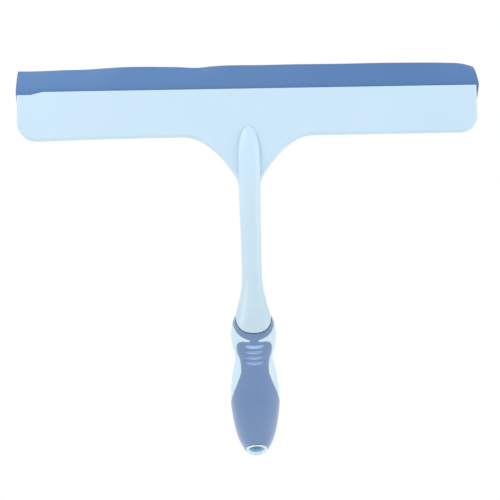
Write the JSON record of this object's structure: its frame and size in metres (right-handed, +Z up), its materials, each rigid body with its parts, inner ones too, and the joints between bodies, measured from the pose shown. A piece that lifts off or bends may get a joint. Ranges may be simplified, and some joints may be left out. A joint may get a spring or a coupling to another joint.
{
  "type": "window squeegee",
  "caption": "T-shaped plastic window squeegee with a flexible replaceable blade, a slim neck, and a two-colour waisted grip with thumb grooves and a hanging hole.",
  "frame": {"origin": "on the head's mid-plane, under the middle of the neck, level with the wings' lower edges, where a two-prong wall holder carries the tool", "axes": "+X along the head, +Z up to the blade's working edge, -Y towards the user's side with the thumb grooves"},
  "size_m": [0.3226, 0.0335, 0.2712],
  "materials": {
    "head_plastic": "pale blue polypropylene, satin",
    "neck_plastic": "pale blue polypropylene, satin",
    "core_plastic": "pale blue polypropylene, satin",
    "soft_grip": "slate blue soft-touch elastomer, fine matte",
    "blade_rubber": "mid blue elastomer, smooth"
  },
  "bodies": {
    "squeegee_frame": {"head_front_shell": "head_plastic", "head_back_shell": "head_plastic", "neck_stem": "neck_plastic", "handle_core": "core_plastic", "grip_sleeve": "soft_grip", "hanging_insert": "core_plastic"},
    "blade_strip": {"blade_root": "blade_rubber"},
    "blade_edge": {"blade_lip": "blade_rubber"}
  },
  "joints": [
    {"name": "blade_slide", "type": "slide", "parent": "squeegee_frame", "child": "blade_strip", "axis": [-1, 0, 0], "range_m": [0, 0.3]},
    {"name": "blade_flex", "type": "hinge", "parent": "blade_strip", "child": "blade_edge", "pos_m": [0, 0, 0.0346], "axis": [1, 0, 0], "range_deg": [-45, 45], "stiffness_Nm_per_rad": 0.09}
  ]
}
